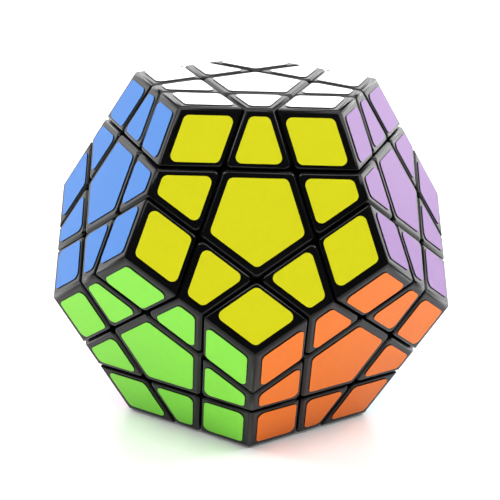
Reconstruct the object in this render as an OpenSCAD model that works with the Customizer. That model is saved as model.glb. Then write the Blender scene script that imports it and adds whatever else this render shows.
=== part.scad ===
// Dodecahedron twisty puzzle: twelve turning faces around a screwed core.
// Millimetres. +Z is up, the puzzle stands on its grey face at z = 0 and the
// yellow face looks towards -Y. Every face axis passes through the centre of
// the puzzle, which is on the Z axis.

/* [Size] */
// Length of one edge of the dodecahedron
edge_length = 35; // [20:0.5:70]
// Distance on a face from its outer edge to the nearest seam
seam_distance = 13.69; // [8:0.01:16]
// Gap between two pieces that slide on each other
running_gap = 0.3; // [0.1:0.05:0.6]
// Wall thickness of the hollow edges and corners
wall = 1.5; // [1:0.1:2.4]

/* [Rounding] */
// Radius along the outer edges of the dodecahedron
outer_round = 1.6; // [0.4:0.1:2.4]
// Radius along the blunt side of a seam
blunt_round = 1; // [0.2:0.1:1.6]
// Radius along the sharp side of a seam
sharp_round = 0.6; // [0.2:0.05:0.8]
// Radius where two seams cross, on the corners and the centres
crossing_round = 1.4; // [0.4:0.1:2]
// Radius where two seams cross, on the pointed corners of the edges
tip_round = 1; // [0.4:0.1:1.4]
// Flat strips that make up the rounding of an outer edge
outer_steps = 5; // [3:2:7]
// Flat strips that make up the rounding of the blunt side of a seam
seam_steps = 3; // [3:1:3]
// Flat strips that make up the rounding of the sharp side of a seam
sharp_steps = 3; // [3:1:6]

/* [Stickers] */
// Thickness of a sticker
sticker_thickness = 0.2; // [0.1:0.05:0.5]
// Distance from the outer edge to a sticker
sticker_edge_inset = 1.81; // [1:0.01:3]
// Distance from a seam to an edge or corner sticker
sticker_seam_inset = 1.48; // [0.5:0.01:3]
// Distance from a seam to a centre sticker
sticker_centre_inset = 1.66; // [0.5:0.01:3]
// Radius of the sticker corners
sticker_round = 1.35; // [0.5:0.01:3]

/* [Mechanism] */
// Radius of the ball surface that separates shells from feet
ball_radius = 36; // [34.5:0.1:36.5]
// Distance of the underside of every foot from the centre of the puzzle
foot_floor = 32.2; // [31:0.1:33]
// Half length of an edge foot, across the edge
edge_foot_half_length = 8.9; // [7:0.1:9.2]
// Half width of an edge foot, along the edge
edge_foot_half_width = 5.4; // [4:0.1:5.6]
// Half length of the neck above an edge foot
edge_neck_half_length = 5.2; // [3:0.1:5.6]
// Half width of the neck above an edge foot
edge_neck_half_width = 4.5; // [3:0.1:5.2]
// Radius of a corner foot
corner_foot_radius = 5.7; // [4:0.1:5.8]
// Radius of the neck above a corner foot
corner_neck_radius = 2.4; // [1.5:0.05:2.5]
// Radius of the peg that holds an edge foot in its shell
edge_peg_radius = 3; // [2:0.1:4]
// Radius of the peg that holds a corner foot in its shell
corner_peg_radius = 1.7; // [1:0.1:2]

/* [Core and tension parts] */
// Radius of the ball in the middle of the core
core_ball_radius = 13.5; // [10:0.5:16]
// Radius of a core arm
core_arm_radius = 4.6; // [3.5:0.1:5]
// Length of a core arm from the centre of the puzzle
core_arm_length = 21.9; // [18:0.1:23]
// Distance of the lower end of a centre stem from the centre of the puzzle
stem_floor = 22.2; // [20:0.1:24]
// Radius of a centre stem at its lower end
stem_low_radius = 5.6; // [4:0.1:5.9]
// Radius of a centre stem at the flange
stem_high_radius = 8.9; // [7:0.1:9.2]
// Radius of the spring cup in a centre stem
cup_radius = 4.2; // [3.5:0.1:4.5]
// Thickness of the floor of the spring cup
cup_floor = 2; // [1:0.1:3]
// Radius of the shaft of a tension screw
screw_radius = 1.5; // [1:0.1:2]
// Radius of the head of a tension screw
screw_head_radius = 2.9; // [2:0.1:3.4]
// Height of the head of a tension screw
screw_head_height = 2.1; // [1:0.1:2.4]
// Distance of the tip of a tension screw from the centre of the puzzle
screw_tip = 12; // [10:0.5:16]
// Distance of the underside of a screw head from the centre of the puzzle
screw_seat = 33; // [30:0.1:33.5]
// Outer radius of a washer
washer_radius = 3.6; // [3:0.1:4]
// Thickness of a washer
washer_thickness = 0.4; // [0.2:0.1:0.8]
// Middle radius of a spring coil
spring_radius = 2.55; // [2:0.05:3]
// Half the diagonal of the square spring wire
spring_wire = 0.35; // [0.2:0.05:0.5]
// Turns in one spring
spring_turns = 5; // [3:0.5:8]
// Thickness of a centre cap
cap_thickness = 1.77; // [1:0.01:2]

/* [Colours] */
// Plastic of the shells, housings and caps
black_plastic = "#17171A";
// Plastic of the feet
dark_plastic = "#1E1E22";
// Plastic of the core
core_plastic = "#2A2A2E";
// Screws and washers
steel = "#A9ABB0";
// Spring wire
spring_steel = "#8E9094";

/* [Hidden] */
$fn = 64;
ring_tilt = atan(1 / 2);
side_turn = 72;
face_angle = acos(1 / sqrt(5));
face_cos = 1 / sqrt(5);
face_sin = 2 / sqrt(5);
face_apothem = edge_length / (2 * tan(36));
inradius = edge_length * sqrt(250 + 110 * sqrt(5)) / 20;
cut_height = inradius - seam_distance * face_sin;
centre_apothem = face_apothem - seam_distance;
centre_height = inradius + sticker_thickness;
half_gap = running_gap / 2;
cut_above = cut_height + half_gap;
cut_below = cut_height - half_gap;
ball_above = ball_radius + half_gap;
ball_below = ball_radius - half_gap;
reach = 2 * edge_length;
cap_floor = inradius - cap_thickness;
peg_top = ball_above + wall + 1.6;
slip = 0.02;
shaft_clearance = 0.08;
sticker_steps = 6;
tip_steps = 3;
wire_sides = 4;
coil_steps = 8;
plug_inner = 3.1;
plug_depth = 1.2;
core_arm_start = 9;
flange_lean = asin(11 / ball_radius);
recess_width = 0.8;
recess_depth = 1.2;

// Faces: 0 white, 1 to 5 the upper ring, 6 to 10 the lower ring, 11 grey.
white = 0;
yellow = 1;
purple = 2;
green = 3;
red = 4;
blue = 5;
orange = 6;
sky = 7;
cream = 8;
pink = 9;
lime = 10;
grey = 11;
face_colours = [
    "#F4F4F2", "#F2E71B", "#8E4FC4", "#0F7A3A", "#D42A2E", "#2E6FD6",
    "#F2762A", "#6CC4EE", "#EFE3B4", "#EE8FB8", "#7BDB3E", "#8F9296"
];

function unit(v) = v / norm(v);
function aim(turn, tilt) = [
    cos(turn) * cos(tilt),
    sin(turn) * cos(tilt),
    sin(tilt)
];
upper_ring = [for (k = [0:4]) aim(-90 + side_turn * k, ring_tilt)];
lower_ring = [for (k = [0:4]) aim(-54 + side_turn * k, -ring_tilt)];
normals = concat([[0, 0, 1]], upper_ring, lower_ring, [[0, 0, -1]]);
function touching(i, j) = abs(normals[i] * normals[j] - face_cos) < 0.001;

// Every edge is the pair of faces it joins and every corner is its three faces.
edges = [
    for (i = [0:10])
    for (j = [i + 1:11])
    if (touching(i, j)) [i, j]
];
corners = [
    for (e = edges)
    if (e[1] < 11)
    for (k = [e[1] + 1:11])
    if (touching(e[0], k) && touching(e[1], k)) [e[0], e[1], k]
];
// The two faces across the ends of an edge.
function end_faces(e) = [
    for (k = [0:11])
    if (k != e[0] && k != e[1] && touching(e[0], k) && touching(e[1], k)) k
];

// Layers: 0 is the main body, the others turn with the named face.
main = 0;
turning = [yellow, red, grey];
function holds(piece, face) = len([for (f = piece) if (f == face) f]) > 0;
function layer_of(piece) =
    holds(piece, yellow) ? yellow :
    holds(piece, red) ? red :
    holds(piece, grey) ? grey : main;

// Frame with its z axis along w and its x axis as near to u as possible.
function across(w, u) = unit(u - (u * w) * w);
module stand(w, u) {
    z = unit(w);
    x = across(z, u);
    y = cross(z, x);
    multmatrix([
        [x[0], y[0], z[0], 0],
        [x[1], y[1], z[1], 0],
        [x[2], y[2], z[2], 0],
        [0, 0, 0, 1]
    ]) children();
}
// Frame whose x axis is the normal a and whose xy plane holds the normal b.
module section(a, b) {
    y = across(a, b);
    z = cross(a, y);
    multmatrix([
        [a[0], y[0], z[0], 0],
        [a[1], y[1], z[1], 0],
        [a[2], y[2], z[2], 0],
        [0, 0, 0, 1]
    ]) children();
}
// A vector square to a face axis, used where any one will do.
function side_of(n) = abs(n[2]) > 0.9 ? [0, -1, 0] : [0, 0, 1];

// Point of a section at distance s along the first normal and t along the second.
function at(s, t) = [s, (t - face_cos * s) / face_sin];

// Arc that replaces the corner p of a counter-clockwise outline.
function corner_arc(before, p, after, r, steps) =
    let (
        u = unit(before - p),
        v = unit(after - p),
        half = acos(u * v) / 2,
        centre = p + unit(u + v) * r / sin(half),
        first = p + u * r / tan(half) - centre,
        start = atan2(first[1], first[0])
    )
    [for (k = [0:steps])
        let (turn = start + (180 - 2 * half) * k / steps)
        centre + r * [cos(turn), sin(turn)]
    ];
function rounded(points, radii, steps) =
    let (n = len(points))
    [for (i = [0:n - 1])
        for (q = radii[i] > 0
            ? corner_arc(points[(i + n - 1) % n], points[i], points[(i + 1) % n],
                radii[i], steps)
            : [points[i]]) q
    ];

// Lines of the flat strips that round one corner of a counter-clockwise outline.
// A line is the angle of its outward normal and its distance from the origin.
function strips(before, p, after, r, steps) =
    let (
        u = unit(before - p),
        v = unit(after - p),
        half = acos(u * v) / 2,
        centre = p + unit(u + v) * r / sin(half),
        start = atan2(-u[1], -u[0]) - 90,
        sweep = 180 - 2 * half
    )
    [for (k = [0:steps - 1])
        let (turn = start + sweep * (k + 0.5) / steps)
        [turn, centre * [cos(turn), sin(turn)] + r * cos(sweep / steps / 2)]
    ];
function crossing(a, b) = [
    a[1] * sin(b[0]) - b[1] * sin(a[0]),
    b[1] * cos(a[0]) - a[1] * cos(b[0])
] / sin(b[0] - a[0]);

// Long bar that rounds four parallel ridges and stays clear of the flats between.
module ridge_bar(a, b) {
    outline = [
        at(inradius, cut_above), at(inradius, inradius),
        at(cut_above, inradius), at(cut_above, cut_above)
    ];
    radii = [sharp_round, outer_round, sharp_round, crossing_round];
    steps = [sharp_steps, outer_steps, sharp_steps, seam_steps];
    lines = [
        for (i = [0:3])
        for (q = strips(outline[(i + 3) % 4], outline[i], outline[(i + 1) % 4],
            radii[i], steps[i])) q
    ];
    strip_bar(normals[a], normals[b], lines);
}
// Long bar with the given outward lines for its sides, drawn in a section.
module strip_bar(x, y, lines) {
    count = len(lines);
    section(x, y)
    linear_extrude(height = 2 * reach, center = true)
    polygon([for (i = [0:count - 1]) crossing(lines[i], lines[(i + 1) % count])]);
}
// Strips that round the upright tip of an edge between its inner cut and an end cut.
tip_strips = strips(
    at(inradius, cut_below), at(cut_above, cut_below), at(cut_above, 0),
    tip_round, tip_steps
);
// Strips that round the upright edge of a corner between its two cuts.
corner_strips = strips(
    at(cut_above, inradius), at(cut_above, cut_above), at(inradius, cut_above),
    crossing_round, seam_steps
);
// Strips that round the upright edge of a centre between two of its cuts.
centre_strips = strips(
    at(cut_below, 0), at(cut_below, cut_below), at(0, cut_below),
    crossing_round, seam_steps
);
// Rounds both ridges of an end cut towards face b: the one at the flat of face a
// and the one at the inner cut below face a.
module end_bar(a, b) {
    strip_bar(normals[a], normals[b], concat(
        strips(at(inradius, 0), at(inradius, cut_below), at(cut_above, cut_below),
            blunt_round, seam_steps),
        tip_strips,
        [[250, reach]]
    ));
}
// Rounds the upright edge of a centre between the cuts of faces a and b.
module upright_bar(a, b) {
    strip_bar(normals[a], normals[b], concat(centre_strips, [[150, reach], [270, reach]]));
}
// Crests: where an upright rounding meets the flat of a face. A crest is the face,
// the outward normal and distance of one upright strip, and the radius over it.
function crest(f, a, b, line, r) = [
    f,
    normals[a] * cos(line[0]) + across(normals[a], normals[b]) * sin(line[0]),
    line[1],
    r
];
function beside(f) = [for (k = [0:11]) if (touching(f, k)) k];
function touching_pairs(near) = [
    for (i = [0:3])
    for (j = [i + 1:4])
    if (touching(near[i], near[j])) [near[i], near[j]]
];
function centre_crests(f) = [
    for (p = touching_pairs(beside(f)))
    for (line = centre_strips)
    crest(f, p[0], p[1], line, blunt_round)
];
function corner_crests(c) = [
    for (i = [0:2])
    for (line = corner_strips)
    crest(c[i], c[(i + 1) % 3], c[(i + 2) % 3], line, sharp_round)
];
function edge_crests(e) = [
    for (i = [0:1])
    for (end = end_faces(e))
    for (k = [0:tip_steps - 1])
    crest(e[i], e[1 - i], end, tip_strips[k],
        blunt_round + (sharp_round - blunt_round) * (k + 0.5) / tip_steps)
];
// Rounds the ridge between the flat of a face and one upright strip.
module crest_bar(one) {
    rise = normals[one[0]] * one[1];
    run = sqrt(1 - rise * rise);
    ridge = [inradius, (one[2] - rise * inradius) / run];
    strip_bar(normals[one[0]], one[1], concat(
        strips(ridge - [0, 10], ridge, ridge + [-10 * run, 10 * rise], one[3], seam_steps),
        [[acos(rise) + 90, reach], [275, reach]]
    ));
}
// Keeps what lies inside the crests of a list, from the first to the given one.
module crested(list, last) {
    if (last < 0) {
        children();
    } else {
        intersection() {
            crested(list, last - 1) children();
            crest_bar(list[last]);
        }
    }
}
// Plate between two distances along the axis of a face.
module slab(f, low, high) {
    stand(normals[f], side_of(normals[f]))
    translate([-reach, -reach, low])
    cube([2 * reach, 2 * reach, high - low]);
}

// Corner shell: three plates crossing, rounded, cut off by the ball, hollow inside.
module corner_shell(c) {
    axis = normals[c[0]] + normals[c[1]] + normals[c[2]];
    difference() {
        crested(corner_crests(c), 8)
        intersection() {
            slab(c[0], cut_above, inradius);
            slab(c[1], cut_above, inradius);
            slab(c[2], cut_above, inradius);
            ridge_bar(c[0], c[1]);
            ridge_bar(c[1], c[2]);
            ridge_bar(c[0], c[2]);
        }
        sphere(r = ball_above);
        difference() {
            intersection() {
                slab(c[0], cut_above + wall, inradius - wall);
                slab(c[1], cut_above + wall, inradius - wall);
                slab(c[2], cut_above + wall, inradius - wall);
            }
            sphere(r = ball_above + wall);
        }
        stand(axis, normals[c[0]])
        translate([0, 0, ball_radius - 2])
        cylinder(h = wall + 4, r = corner_peg_radius + slip, $fn = 32);
    }
}
// Corner foot: a round button under the ball with a neck and a peg.
module corner_foot(c) {
    axis = normals[c[0]] + normals[c[1]] + normals[c[2]];
    stand(axis, normals[c[0]]) {
        intersection() {
            sphere(r = ball_below);
            translate([0, 0, foot_floor])
            cylinder(h = 10, r = corner_foot_radius);
        }
        intersection() {
            sphere(r = ball_above);
            translate([0, 0, foot_floor + 1])
            cylinder(h = 10, r = corner_neck_radius);
        }
        translate([0, 0, foot_floor + 2])
        cylinder(h = peg_top - foot_floor - 2, r = corner_peg_radius, $fn = 32);
    }
}
// Edge shell: two plates crossing between two end cuts, hollow inside.
module edge_shell(e) {
    ends = end_faces(e);
    axis = normals[e[0]] + normals[e[1]];
    difference() {
        crested(edge_crests(e), 4 * tip_steps - 1)
        intersection() {
            slab(e[0], cut_above, inradius);
            slab(e[1], cut_above, inradius);
            slab(ends[0], 0, cut_below);
            slab(ends[1], 0, cut_below);
            ridge_bar(e[0], e[1]);
            end_bar(e[0], ends[0]);
            end_bar(e[1], ends[0]);
            end_bar(e[0], ends[1]);
            end_bar(e[1], ends[1]);
        }
        sphere(r = ball_above);
        difference() {
            intersection() {
                slab(e[0], cut_above + wall, inradius - wall);
                slab(e[1], cut_above + wall, inradius - wall);
                slab(ends[0], 0, cut_below - wall);
                slab(ends[1], 0, cut_below - wall);
            }
            sphere(r = ball_above + wall);
        }
        stand(axis, normals[e[0]])
        translate([0, 0, ball_radius - 2])
        cylinder(h = wall + 4, r = edge_peg_radius + slip, $fn = 32);
    }
}
// Outline of a rectangle with rounded corners.
module rounded_rectangle(half_x, half_y, r) {
    polygon(rounded(
        [[half_x, -half_y], [half_x, half_y], [-half_x, half_y], [-half_x, -half_y]],
        [r, r, r, r],
        sticker_steps
    ));
}
// Edge foot: a slide under the ball with a neck and a peg.
module edge_foot(e) {
    axis = normals[e[0]] + normals[e[1]];
    stand(axis, normals[e[0]]) {
        intersection() {
            sphere(r = ball_below);
            translate([0, 0, foot_floor])
            linear_extrude(height = 10)
            rounded_rectangle(edge_foot_half_length, edge_foot_half_width, 2.5);
        }
        intersection() {
            sphere(r = ball_above);
            translate([0, 0, foot_floor + 1])
            linear_extrude(height = 10)
            rounded_rectangle(edge_neck_half_length, edge_neck_half_width, 1);
        }
        translate([0, 0, foot_floor + 2])
        cylinder(h = peg_top - foot_floor - 2, r = edge_peg_radius, $fn = 32);
    }
}

// Radius at the points of the centre pentagon at a distance z along its axis.
function centre_radius(z) = at(z, cut_below)[1] / cos(36);
// Five-sided frustum between two heights, with its flats towards the neighbours.
module five_sides(z0, z1, r0, r1) {
    rotate([0, 0, 36])
    translate([0, 0, z0])
    cylinder(h = z1 - z0, r1 = r0, r2 = r1, $fn = 5);
}
// Solid of a centre from the ball up to its face, with the seam rounded.
module centre_block(low, high) {
    turn = face_angle / seam_steps;
    side_at = at(inradius, cut_below)[1];
    mid_y = side_at - blunt_round * tan(face_angle / 2);
    intersection() {
        five_sides(low, high, centre_radius(low), centre_radius(high));
        strip_cut(low, high, mid_y, turn * 0.5);
        strip_cut(low, high, mid_y, turn * 1.5);
        strip_cut(low, high, mid_y, turn * 2.5);
    }
}
// Frustum tangent to the seam rounding where it leans by the given angle.
module strip_cut(low, high, mid_y, lean) {
    mid_z = inradius - blunt_round;
    reach_out = blunt_round * cos(face_angle / seam_steps / 2);
    y_low = mid_y + (reach_out - (low - mid_z) * cos(lean)) / sin(lean);
    y_high = mid_y + (reach_out - (high - mid_z) * cos(lean)) / sin(lean);
    five_sides(low, high, y_low / cos(36), y_high / cos(36));
}
// Radius of the cone under a flange, which touches the ball along one circle.
function flange_radius(z) = (ball_above - z * cos(flange_lean)) / sin(flange_lean);
// Keeps what lies inside the rounded upright edges of the centre of face f.
module rounded_upright(f) {
    pairs = touching_pairs(beside(f));
    intersection() {
        stand(normals[f], beside_first(f)) children();
        upright_bar(pairs[0][0], pairs[0][1]);
        upright_bar(pairs[1][0], pairs[1][1]);
        upright_bar(pairs[2][0], pairs[2][1]);
        upright_bar(pairs[3][0], pairs[3][1]);
        upright_bar(pairs[4][0], pairs[4][1]);
    }
}
// Normal of the first neighbour of a face.
function beside_first(f) = normals[beside(f)[0]];

// Centre housing: flange on a hollow stem that turns on the tension screw.
module centre_housing(f) {
    difference() {
        union() {
            rounded_upright(f)
            difference() {
                five_sides(29, cap_floor, centre_radius(29), centre_radius(cap_floor));
                translate([0, 0, 28])
                cylinder(
                    h = cap_floor - 28,
                    r1 = flange_radius(28),
                    r2 = flange_radius(cap_floor)
                );
            }
            stand(normals[f], beside_first(f))
            translate([0, 0, stem_floor])
            cylinder(h = ball_radius - stem_floor, r1 = stem_low_radius, r2 = stem_high_radius);
        }
        stand(normals[f], beside_first(f)) {
            translate([0, 0, stem_floor + cup_floor])
            cylinder(h = 20, r = cup_radius);
            translate([0, 0, stem_floor - 1])
            cylinder(h = cup_floor + 2, r = screw_radius + shaft_clearance);
        }
    }
}

// Centre cap: pentagonal lid with a ring that plugs the spring cup.
module centre_cap(f) {
    crested(centre_crests(f), 5 * seam_steps - 1)
    rounded_upright(f)
    centre_block(cap_floor, inradius);
    stand(normals[f], beside_first(f))
    translate([0, 0, cap_floor - plug_depth])
    difference() {
        cylinder(h = plug_depth + 0.5, r = cup_radius - slip);
        translate([0, 0, -1])
        cylinder(h = plug_depth + 1, r = plug_inner);
    }
}

module core_body() {
    difference() {
        union() {
            sphere(r = core_ball_radius);
            for (n = normals) {
                stand(n, side_of(n))
                translate([0, 0, core_arm_start])
                cylinder(h = core_arm_length - core_arm_start, r = core_arm_radius);
            }
        }
        for (n = normals) {
            stand(n, side_of(n))
            translate([0, 0, screw_tip])
            cylinder(h = 20, r = screw_radius, $fn = 32);
        }
    }
}
module screw(n) {
    stand(n, side_of(n))
    difference() {
        union() {
            translate([0, 0, screw_tip])
            cylinder(h = screw_seat + 0.5 - screw_tip, r = screw_radius, $fn = 32);
            translate([0, 0, screw_seat])
            cylinder(h = screw_head_height, r = screw_head_radius, $fn = 32);
        }
        for (turn = [0, 90]) {
            rotate([0, 0, turn])
            translate([-1.8, -recess_width / 2, screw_seat + screw_head_height - recess_depth])
            cube([3.6, recess_width, 2]);
        }
    }
}
module washer(n) {
    stand(n, side_of(n))
    translate([0, 0, screw_seat - washer_thickness])
    difference() {
        cylinder(h = washer_thickness, r = washer_radius, $fn = 32);
        translate([0, 0, -1])
        cylinder(h = washer_thickness + 2, r = screw_radius + slip, $fn = 32);
    }
}
// Compression spring: a wire of square section swept along a helix.
module spring(n) {
    low = stem_floor + cup_floor + 0.05 + spring_wire;
    high = screw_seat - washer_thickness - spring_wire;
    rings = round(spring_turns * coil_steps);
    points = [
        for (i = [0:rings])
        for (k = [0:wire_sides - 1])
        let (
            turn = 360 * i / coil_steps,
            side = 360 * (k + 0.5) / wire_sides + 60,
            out = spring_radius + spring_wire * cos(side)
        )
        [out * cos(turn), out * sin(turn), low + (high - low) * i / rings + spring_wire * sin(side)]
    ];
    skin = [
        for (i = [0:rings - 1])
        for (k = [0:wire_sides - 1])
        let (
            a = i * wire_sides + k,
            b = i * wire_sides + (k + 1) % wire_sides
        )
        [a, b, b + wire_sides, a + wire_sides]
    ];
    first_end = [for (k = [0:wire_sides - 1]) wire_sides - 1 - k];
    last_end = [for (k = [0:wire_sides - 1]) rings * wire_sides + k];
    stand(n, side_of(n))
    polyhedron(points = points, faces = concat(skin, [first_end, last_end]), convexity = 8);
}

// Sticker outlines, drawn on a face with its centre at the origin.
function face_point(s, t) = [s, (t - cos(side_turn) * s) / sin(side_turn)];
centre_sticker = [
    for (k = [0:4])
    (centre_apothem - sticker_centre_inset) / cos(36) * [cos(36 + 72 * k), sin(36 + 72 * k)]
];
near_line = centre_apothem + sticker_seam_inset;
far_line = face_apothem - sticker_edge_inset;
side_line = centre_apothem - sticker_seam_inset;
function mirrored(p) = [p[0], -p[1]];
edge_sticker = [
    mirrored(face_point(near_line, side_line)), mirrored(face_point(far_line, side_line)),
    face_point(far_line, side_line), face_point(near_line, side_line)
];
corner_sticker = [
    face_point(near_line, near_line), face_point(far_line, near_line),
    face_point(far_line, far_line), face_point(near_line, far_line)
];
module plate(f, towards, outline) {
    stand(normals[f], towards)
    translate([0, 0, inradius])
    linear_extrude(height = sticker_thickness)
    polygon(rounded(
        outline,
        [for (p = outline) sticker_round],
        sticker_steps
    ));
}
// All stickers of one colour that ride on one layer.
module stickers(f, layer) {
    if (layer_of([f]) == layer) plate(f, beside_first(f), centre_sticker);
    for (e = edges) {
        if (holds(e, f) && layer_of(e) == layer) {
            other = e[0] == f ? e[1] : e[0];
            plate(f, normals[other], edge_sticker);
        }
    }
    for (c = corners) {
        if (holds(c, f) && layer_of(c) == layer) {
            rest = [for (k = c) if (k != f) k];
            turned = cross(normals[rest[0]], normals[rest[1]]) * normals[f] > 0;
            plate(f, normals[turned ? rest[0] : rest[1]], corner_sticker);
        }
    }
}
// Puts a part drawn about the centre of the puzzle where the puzzle stands.
module placed() {
    translate([0, 0, centre_height]) children();
}
module housings(layer) {
    placed() for (f = [0:11]) if (layer_of([f]) == layer) centre_housing(f);
}
module caps(layer) {
    placed() for (f = [0:11]) if (layer_of([f]) == layer) centre_cap(f);
}
module edge_shells(layer) {
    placed() for (e = edges) if (layer_of(e) == layer) edge_shell(e);
}
module edge_feet(layer) {
    placed() for (e = edges) if (layer_of(e) == layer) edge_foot(e);
}
module corner_shells(layer) {
    placed() for (c = corners) if (layer_of(c) == layer) corner_shell(c);
}
module corner_feet(layer) {
    placed() for (c = corners) if (layer_of(c) == layer) corner_foot(c);
}
module sheet(f, layer) {
    color(face_colours[f]) placed() stickers(f, layer);
}

// One module per sub-part.
module core() {
    color(core_plastic) placed() core_body();
}
module tension_screws() {
    color(steel) placed() for (n = normals) screw(n);
}
module tension_springs() {
    color(spring_steel) placed() for (n = normals) spring(n);
}
module screw_washers() {
    color(steel) placed() for (n = normals) washer(n);
}
module main_centre_housings() {
    color(black_plastic) housings(main);
}
module main_centre_caps() {
    color(black_plastic) caps(main);
}
module main_edge_shells() {
    color(black_plastic) edge_shells(main);
}
module main_edge_feet() {
    color(dark_plastic) edge_feet(main);
}
module main_corner_shells() {
    color(black_plastic) corner_shells(main);
}
module main_corner_feet() {
    color(dark_plastic) corner_feet(main);
}
module main_stickers_white() {
    sheet(white, main);
}
module main_stickers_purple() {
    sheet(purple, main);
}
module main_stickers_dark_green() {
    sheet(green, main);
}
module main_stickers_blue() {
    sheet(blue, main);
}
module main_stickers_orange() {
    sheet(orange, main);
}
module main_stickers_sky_blue() {
    sheet(sky, main);
}
module main_stickers_cream() {
    sheet(cream, main);
}
module main_stickers_pink() {
    sheet(pink, main);
}
module main_stickers_lime() {
    sheet(lime, main);
}
module yellow_layer_centre_housing() {
    color(black_plastic) housings(yellow);
}
module yellow_layer_centre_cap() {
    color(black_plastic) caps(yellow);
}
module yellow_layer_edge_shells() {
    color(black_plastic) edge_shells(yellow);
}
module yellow_layer_edge_feet() {
    color(dark_plastic) edge_feet(yellow);
}
module yellow_layer_corner_shells() {
    color(black_plastic) corner_shells(yellow);
}
module yellow_layer_corner_feet() {
    color(dark_plastic) corner_feet(yellow);
}
module yellow_layer_stickers_yellow() {
    sheet(yellow, yellow);
}
module yellow_layer_stickers_white() {
    sheet(white, yellow);
}
module yellow_layer_stickers_purple() {
    sheet(purple, yellow);
}
module yellow_layer_stickers_orange() {
    sheet(orange, yellow);
}
module yellow_layer_stickers_lime() {
    sheet(lime, yellow);
}
module yellow_layer_stickers_blue() {
    sheet(blue, yellow);
}
module red_layer_centre_housing() {
    color(black_plastic) housings(red);
}
module red_layer_centre_cap() {
    color(black_plastic) caps(red);
}
module red_layer_edge_shells() {
    color(black_plastic) edge_shells(red);
}
module red_layer_edge_feet() {
    color(dark_plastic) edge_feet(red);
}
module red_layer_corner_shells() {
    color(black_plastic) corner_shells(red);
}
module red_layer_corner_feet() {
    color(dark_plastic) corner_feet(red);
}
module red_layer_stickers_red() {
    sheet(red, red);
}
module red_layer_stickers_white() {
    sheet(white, red);
}
module red_layer_stickers_dark_green() {
    sheet(green, red);
}
module red_layer_stickers_cream() {
    sheet(cream, red);
}
module red_layer_stickers_pink() {
    sheet(pink, red);
}
module red_layer_stickers_blue() {
    sheet(blue, red);
}
module grey_layer_centre_housing() {
    color(black_plastic) housings(grey);
}
module grey_layer_centre_cap() {
    color(black_plastic) caps(grey);
}
module grey_layer_edge_shells() {
    color(black_plastic) edge_shells(grey);
}
module grey_layer_edge_feet() {
    color(dark_plastic) edge_feet(grey);
}
module grey_layer_corner_shells() {
    color(black_plastic) corner_shells(grey);
}
module grey_layer_corner_feet() {
    color(dark_plastic) corner_feet(grey);
}
module grey_layer_stickers_grey() {
    sheet(grey, grey);
}
module grey_layer_stickers_orange() {
    sheet(orange, grey);
}
module grey_layer_stickers_sky_blue() {
    sheet(sky, grey);
}
module grey_layer_stickers_cream() {
    sheet(cream, grey);
}
module grey_layer_stickers_pink() {
    sheet(pink, grey);
}
module grey_layer_stickers_lime() {
    sheet(lime, grey);
}

core();
tension_screws();
tension_springs();
screw_washers();
main_centre_housings();
main_centre_caps();
main_edge_shells();
main_edge_feet();
main_corner_shells();
main_corner_feet();
main_stickers_white();
main_stickers_purple();
main_stickers_dark_green();
main_stickers_blue();
main_stickers_orange();
main_stickers_sky_blue();
main_stickers_cream();
main_stickers_pink();
main_stickers_lime();
yellow_layer_centre_housing();
yellow_layer_centre_cap();
yellow_layer_edge_shells();
yellow_layer_edge_feet();
yellow_layer_corner_shells();
yellow_layer_corner_feet();
yellow_layer_stickers_yellow();
yellow_layer_stickers_white();
yellow_layer_stickers_purple();
yellow_layer_stickers_orange();
yellow_layer_stickers_lime();
yellow_layer_stickers_blue();
red_layer_centre_housing();
red_layer_centre_cap();
red_layer_edge_shells();
red_layer_edge_feet();
red_layer_corner_shells();
red_layer_corner_feet();
red_layer_stickers_red();
red_layer_stickers_white();
red_layer_stickers_dark_green();
red_layer_stickers_cream();
red_layer_stickers_pink();
red_layer_stickers_blue();
grey_layer_centre_housing();
grey_layer_centre_cap();
grey_layer_edge_shells();
grey_layer_edge_feet();
grey_layer_corner_shells();
grey_layer_corner_feet();
grey_layer_stickers_grey();
grey_layer_stickers_orange();
grey_layer_stickers_sky_blue();
grey_layer_stickers_cream();
grey_layer_stickers_pink();
grey_layer_stickers_lime();
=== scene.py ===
# Dodecahedron twisty puzzle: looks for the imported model, with the camera and a plain studio.
import bpy
import math
from mathutils import Matrix, Vector


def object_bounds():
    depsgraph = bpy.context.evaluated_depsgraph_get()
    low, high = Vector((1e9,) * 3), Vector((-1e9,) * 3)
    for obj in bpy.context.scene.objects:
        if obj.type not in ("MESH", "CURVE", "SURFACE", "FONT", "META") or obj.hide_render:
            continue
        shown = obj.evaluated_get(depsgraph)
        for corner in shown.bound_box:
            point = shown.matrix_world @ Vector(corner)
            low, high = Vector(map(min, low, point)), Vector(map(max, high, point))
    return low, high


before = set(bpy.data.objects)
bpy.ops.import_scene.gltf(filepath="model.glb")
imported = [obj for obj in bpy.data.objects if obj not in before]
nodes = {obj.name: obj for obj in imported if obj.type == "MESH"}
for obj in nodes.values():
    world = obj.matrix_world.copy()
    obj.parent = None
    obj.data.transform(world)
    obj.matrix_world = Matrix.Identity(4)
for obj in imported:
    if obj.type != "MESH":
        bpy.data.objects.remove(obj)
CAD_LOW, CAD_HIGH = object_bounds()
CENTRE = (CAD_LOW + CAD_HIGH) / 2

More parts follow.
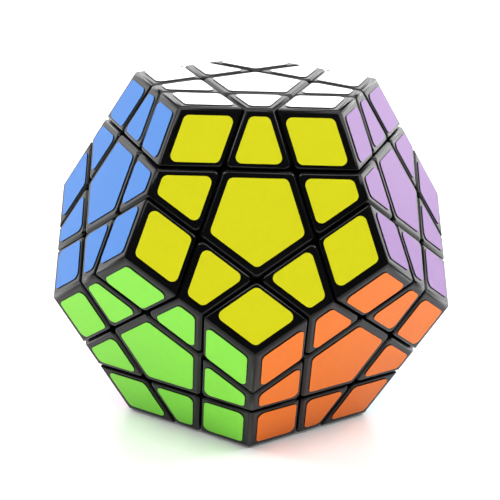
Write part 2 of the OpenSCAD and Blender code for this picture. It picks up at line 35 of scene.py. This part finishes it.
# ---------------------------------------------------------------- numbers
# Inks of the twelve faces, as printed.
INKS = {
    "white": "#F2F2F0",
    "yellow": "#C9C71C",
    "purple": "#7F4F98",
    "dark_green": "#0A6E36",
    "red": "#BE1E25",
    "blue": "#106FC4",
    "orange": "#E67102",
    "sky_blue": "#58B2DE",
    "cream": "#E8DBAA",
    "pink": "#E27FAB",
    "lime": "#82DB3D",
    "grey": "#86898D",
}
EDGE_TINT = 0.1  # how much of the ink shows on the cut edge of a sticker
EDGE_LEAN, TOP_LEAN = 0.5, 0.8  # dot product with the face's normal: cut edge below, printed top above
VINYL_ROUGHNESS = 0.25
VINYL_GLOSS = 0.16
PLASTIC_GLOSS = 0.18
PLASTIC_IOR = 1.5

# Surface textures: noise scales in object space; bumps as strength and depth in metres.
NOISE_LOW, NOISE_HIGH = 0.3, 0.7  # the part of the noise that the shaders stretch over their whole range
PLASTIC_BROAD, PLASTIC_FINE, PLASTIC_DEPTH = 60.0, 900.0, 0.00003
VINYL_INK, VINYL_WAVE, VINYL_GRAIN = 700.0, 90.0, 2600.0
GRAIN_BUMP = 0.06, 0.00002
WAVE_BUMP = 0.05, 0.0001
METAL_BROAD, METAL_MARKS = 120.0, 1500.0
MARKS_BUMP = 0.1, 0.00002
PAPER_MOTTLE = 12.0

# Mesh clean-up before shading.
SMOOTH_LIMIT = 50  # degrees; sharper edges stay sharp
FLAT_LIMIT = 1  # degrees; faces closer than this become one flat
WELD_DISTANCE = 2e-6  # metres
LARGE_FACES_LEAD = 100  # weighted normals: the flats keep their own normal

# Camera: direction and roll in degrees; the rest in edge lengths of the dodecahedron.
EDGE = 0.035
AZIMUTH, ELEVATION, ROLL = -1.850, 18.560, 1.918
DISTANCE, SIDE, UP = 11.7465, -0.0104, -0.0391
LENS, SENSOR = 125.0, 36.0  # millimetres
CLIP_NEAR, CLIP_FAR = 0.02, 20.0  # metres

# Studio: a pale sheet that glows faintly, and seven soft boxes.
FLOOR_HALF = 8.0
FLOOR_SHADES = 0.95, 0.97
FLOOR_ROUGHNESS = 0.35
FLOOR_GLOW = 0.12
WORLD_LIGHT = 0.005
# name, place, size (metres), power (watts), True when it looks straight across the floor
PANELS = (
    ("back left panel", (-1.27, 1.27, 0.5), (1.5, 1.0), 8.0, True),
    ("back panel", (0.0, 1.8, 0.5), (1.5, 1.0), 9.6, True),
    ("back right panel", (1.27, 1.27, 0.5), (1.5, 1.0), 12.8, True),
    ("front top box", (0.0, -0.8, 1.75), (1.6, 0.5), 17.1, False),
    ("back top box", (0.0, 0.65, 1.45), (1.6, 0.7), 18.9, False),
    ("left top box", (-1.0, -0.1, 1.25), (0.7, 0.7), 14.3, False),
    ("right top box", (1.0, -0.1, 1.25), (0.7, 0.7), 14.9, False),
)


# ---------------------------------------------------------------- node helpers
def material(name):
    made = bpy.data.materials.new(name)
    made.use_nodes = True
    tree = made.node_tree
    tree.nodes.clear()
    out = tree.nodes.new("ShaderNodeOutputMaterial")
    shader = tree.nodes.new("ShaderNodeBsdfPrincipled")
    tree.links.new(shader.outputs["BSDF"], out.inputs["Surface"])
    return made, tree, shader


def node(tree, kind, inputs=(), **settings):
    """New shader node. An input given as a socket is linked, any other value is set."""
    made = tree.nodes.new(kind)
    for key, value in settings.items():
        setattr(made, key, value)
    for key, value in dict(inputs).items():
        if isinstance(value, bpy.types.NodeSocket):
            tree.links.new(value, made.inputs[key])
        else:
            made.inputs[key].default_value = value
    return made


def noise(tree, coords, scale, detail=3.0, roughness=0.55):
    values = {"Vector": coords, "Scale": scale, "Detail": detail, "Roughness": roughness}
    return node(tree, "ShaderNodeTexNoise", values).outputs["Fac"]


def remap(tree, value, to_low, to_high, low=NOISE_LOW, high=NOISE_HIGH):
    values = {"Value": value, "From Min": low, "From Max": high, "To Min": to_low, "To Max": to_high}
    return node(tree, "ShaderNodeMapRange", values).outputs["Result"]


def bump(tree, height, strength, depth, under=None):
    """Normal of a bump map, laid over another normal when one is given."""
    values = {"Strength": strength, "Distance": depth, "Height": height}
    if under is not None:
        values["Normal"] = under
    return node(tree, "ShaderNodeBump", values).outputs["Normal"]


def mix_colour(tree, factor, first, second):
    """Colour between the first and the second, each a tuple or a socket."""
    made = node(tree, "ShaderNodeMix", {"Factor": factor}, data_type="RGBA")
    for key, value in (("A", first), ("B", second)):
        socket = next(s for s in made.inputs if s.name == key and s.type == "RGBA")
        if isinstance(value, tuple):
            socket.default_value = value
        else:
            tree.links.new(value, socket)
    return next(s for s in made.outputs if s.type == "RGBA")


def shade(colour, factor):
    return (*[min(1.0, c * factor) for c in colour], 1.0)


def mottle(tree, value, colour, low, high):
    """One colour that wanders between two shades of itself along a noise."""
    return mix_colour(tree, remap(tree, value, 0.0, 1.0), shade(colour, low), shade(colour, high))


def linear(hex_code):
    """Linear colour of an sRGB code."""
    parts = [int(hex_code[i:i + 2], 16) / 255 for i in (1, 3, 5)]
    return tuple(c / 12.92 if c <= 0.04045 else ((c + 0.055) / 1.055) ** 2.4 for c in parts)


def plastic(name, colour, rough, peel):
    """Injection-moulded plastic: faint mould texture, small rub marks, uneven gloss."""
    made, tree, shader = material(name)
    coords = node(tree, "ShaderNodeTexCoord").outputs["Object"]
    broad = noise(tree, coords, PLASTIC_BROAD)
    fine = noise(tree, coords, PLASTIC_FINE, 4.0)
    tree.links.new(mottle(tree, broad, colour, 0.85, 1.2), shader.inputs["Base Color"])
    tree.links.new(remap(tree, broad, rough - 0.03, rough + 0.04), shader.inputs["Roughness"])
    tree.links.new(bump(tree, fine, peel, PLASTIC_DEPTH), shader.inputs["Normal"])
    shader.inputs["IOR"].default_value = PLASTIC_IOR
    shader.inputs["Specular IOR Level"].default_value = PLASTIC_GLOSS
    return made


def vinyl(name, colour, facing):
    """Printed vinyl film: mottled ink, fine grain, soft waviness, and a cut edge (faces turned away from the
    face's normal) darker than the printed top.
    """
    made, tree, shader = material(name)
    place = node(tree, "ShaderNodeTexCoord")
    coords = place.outputs["Object"]
    ink = noise(tree, coords, VINYL_INK, 5.0)
    wave = noise(tree, coords, VINYL_WAVE, 2.0)
    grain = noise(tree, coords, VINYL_GRAIN, 2.0)
    printed = mottle(tree, ink, colour, 0.985, 1.015)
    normals = {0: place.outputs["Normal"], 1: facing}
    lean = node(tree, "ShaderNodeVectorMath", normals, operation="DOT_PRODUCT")
    top = remap(tree, lean.outputs["Value"], 0.0, 1.0, EDGE_LEAN, TOP_LEAN)
    tree.links.new(mix_colour(tree, top, shade(colour, EDGE_TINT), printed), shader.inputs["Base Color"])
    rough = remap(tree, ink, VINYL_ROUGHNESS - 0.012, VINYL_ROUGHNESS + 0.015)
    tree.links.new(rough, shader.inputs["Roughness"])
    grained = bump(tree, grain, *GRAIN_BUMP)
    tree.links.new(bump(tree, wave, *WAVE_BUMP, grained), shader.inputs["Normal"])
    shader.inputs["IOR"].default_value = PLASTIC_IOR
    shader.inputs["Specular IOR Level"].default_value = VINYL_GLOSS
    return made


def metal(name, colour, rough):
    """Plated steel with fine turning marks."""
    made, tree, shader = material(name)
    coords = node(tree, "ShaderNodeTexCoord").outputs["Object"]
    marks = noise(tree, coords, METAL_MARKS, 4.0)
    broad = noise(tree, coords, METAL_BROAD)
    tree.links.new(mottle(tree, broad, colour, 0.85, 1.0), shader.inputs["Base Color"])
    tree.links.new(remap(tree, marks, rough - 0.08, rough + 0.1), shader.inputs["Roughness"])
    tree.links.new(bump(tree, marks, *MARKS_BUMP), shader.inputs["Normal"])
    shader.inputs["Metallic"].default_value = 1.0
    return made


def face_normals():
    """Outward normal of each coloured face: white on top, two rings of five, grey below."""
    tilt = math.atan(0.5)
    rings = (
        (("yellow", "purple", "dark_green", "red", "blue"), -90, tilt),
        (("orange", "sky_blue", "cream", "pink", "lime"), -54, -tilt),
    )
    found = {"white": (0.0, 0.0, 1.0), "grey": (0.0, 0.0, -1.0)}
    for colours, first, lift in rings:
        for step, colour in enumerate(colours):
            turn = math.radians(first + 72 * step)
            found[colour] = (math.cos(turn) * math.cos(lift), math.sin(turn) * math.cos(lift), math.sin(lift))
    return found


black = plastic("black plastic", (0.003, 0.003, 0.0034), rough=0.17, peel=0.05)
feet = plastic("foot plastic", (0.012, 0.012, 0.0135), rough=0.38, peel=0.2)
spider = plastic("core plastic", (0.022, 0.022, 0.026), rough=0.42, peel=0.25)
steel = metal("plated steel", (0.62, 0.62, 0.63), rough=0.28)
wire = metal("spring wire", (0.5, 0.5, 0.51), rough=0.35)
FACING = face_normals()
inks = {key: vinyl(f"{key} vinyl", linear(code), FACING[key]) for key, code in INKS.items()}


def finish_of(name):
    if "_stickers_" in name:
        return inks[name.split("_stickers_")[1]]
    if name == "core":
        return spider
    if name in ("tension_screws", "screw_washers"):
        return steel
    if name == "tension_springs":
        return wire
    return feet if name.endswith("_feet") else black


# ---------------------------------------------------------------- smoothing
def smooth_group(limit):
    """Geometry nodes that shade smooth everywhere but at edges sharper than the limit."""
    group = bpy.data.node_groups.new("smooth below limit", "GeometryNodeTree")
    group.interface.new_socket("Geometry", in_out="INPUT", socket_type="NodeSocketGeometry")
    group.interface.new_socket("Geometry", in_out="OUTPUT", socket_type="NodeSocketGeometry")
    start = group.nodes.new("NodeGroupInput")
    end = group.nodes.new("NodeGroupOutput")
    angle = group.nodes.new("GeometryNodeInputMeshEdgeAngle")
    flat = group.nodes.new("FunctionNodeCompare")
    flat.operation = "LESS_EQUAL"
    flat.inputs[1].default_value = math.radians(limit)
    faces = group.nodes.new("GeometryNodeSetShadeSmooth")
    faces.domain = "FACE"
    ridges = group.nodes.new("GeometryNodeSetShadeSmooth")
    ridges.domain = "EDGE"
    group.links.new(angle.outputs["Unsigned Angle"], flat.inputs[0])
    group.links.new(start.outputs[0], faces.inputs["Geometry"])
    group.links.new(faces.outputs["Geometry"], ridges.inputs["Geometry"])
    group.links.new(flat.outputs[0], ridges.inputs["Shade Smooth"])
    group.links.new(ridges.outputs["Geometry"], end.inputs[0])
    return group


SMOOTH = smooth_group(SMOOTH_LIMIT)
for name, shown in nodes.items():
    for slot in shown.material_slots:
        slot.material = finish_of(name)
    weld = shown.modifiers.new("weld", "WELD")
    weld.merge_threshold = WELD_DISTANCE
    planar = shown.modifiers.new("flats", "DECIMATE")
    planar.decimate_type = "DISSOLVE"
    planar.angle_limit = math.radians(FLAT_LIMIT)
    shading = shown.modifiers.new("shading", "NODES")
    shading.node_group = SMOOTH
    weights = shown.modifiers.new("weights", "WEIGHTED_NORMAL")
    weights.mode = "FACE_AREA"
    weights.weight = LARGE_FACES_LEAD
    weights.keep_sharp = True

# ---------------------------------------------------------------- camera
az, el, roll = (math.radians(v) for v in (AZIMUTH, ELEVATION, ROLL))
back = Vector((math.sin(az) * math.cos(el), -math.cos(az) * math.cos(el), math.sin(el)))
right = Vector((math.cos(az), math.sin(az), 0.0))
up = back.cross(right)
across = right * math.cos(roll) + up * math.sin(roll)
upward = up * math.cos(roll) - right * math.sin(roll)
camera_data = bpy.data.cameras.new("camera")
camera_data.sensor_width = SENSOR
camera_data.lens = LENS
camera_data.clip_start = CLIP_NEAR
camera_data.clip_end = CLIP_FAR
camera = bpy.data.objects.new("camera", camera_data)
bpy.context.scene.collection.objects.link(camera)
turned = Matrix((across, upward, back)).transposed().to_4x4()
place = CENTRE + (back * DISTANCE + across * SIDE + upward * UP) * EDGE
camera.matrix_world = Matrix.Translation(place) @ turned
bpy.context.scene.camera = camera


# ---------------------------------------------------------------- studio
def floor_sheet():
    half = FLOOR_HALF
    mesh = bpy.data.meshes.new("floor")
    corners = [(-half, -half, 0), (half, -half, 0), (half, half, 0), (-half, half, 0)]
    mesh.from_pydata(corners, [], [(0, 1, 2, 3)])
    made = bpy.data.objects.new("floor", mesh)
    bpy.context.scene.collection.objects.link(made)
    paint, tree, shader = material("paper floor")
    coords = node(tree, "ShaderNodeTexCoord").outputs["Object"]
    paper = mottle(tree, noise(tree, coords, PAPER_MOTTLE), (1.0, 1.0, 1.0), *FLOOR_SHADES)
    tree.links.new(paper, shader.inputs["Base Color"])
    shader.inputs["Roughness"].default_value = FLOOR_ROUGHNESS
    shader.inputs["Emission Color"].default_value = (1.0, 1.0, 1.0, 1.0)
    shader.inputs["Emission Strength"].default_value = FLOOR_GLOW
    mesh.materials.append(paint)


def area_light(name, at, size, power, level):
    """Soft box that looks at the puzzle, or straight across the floor when level."""
    data = bpy.data.lights.new(name, "AREA")
    data.shape = "RECTANGLE"
    data.size, data.size_y = size
    data.energy = power
    made = bpy.data.objects.new(name, data)
    made.location = at
    target = Vector((0.0, 0.0, at[2] if level else CENTRE.z))
    made.rotation_mode = "QUATERNION"
    made.rotation_quaternion = (target - Vector(at)).to_track_quat("-Z", "Y")
    bpy.context.scene.collection.objects.link(made)


floor_sheet()
for panel in PANELS:
    area_light(*panel)
world = bpy.data.worlds.new("studio")
world.use_nodes = True
world.node_tree.nodes["Background"].inputs["Color"].default_value = (1.0, 1.0, 1.0, 1.0)
world.node_tree.nodes["Background"].inputs["Strength"].default_value = WORLD_LIGHT
bpy.context.scene.world = world
bpy.context.scene.view_settings.view_transform = "Standard"
bpy.context.scene.view_settings.look = "None"
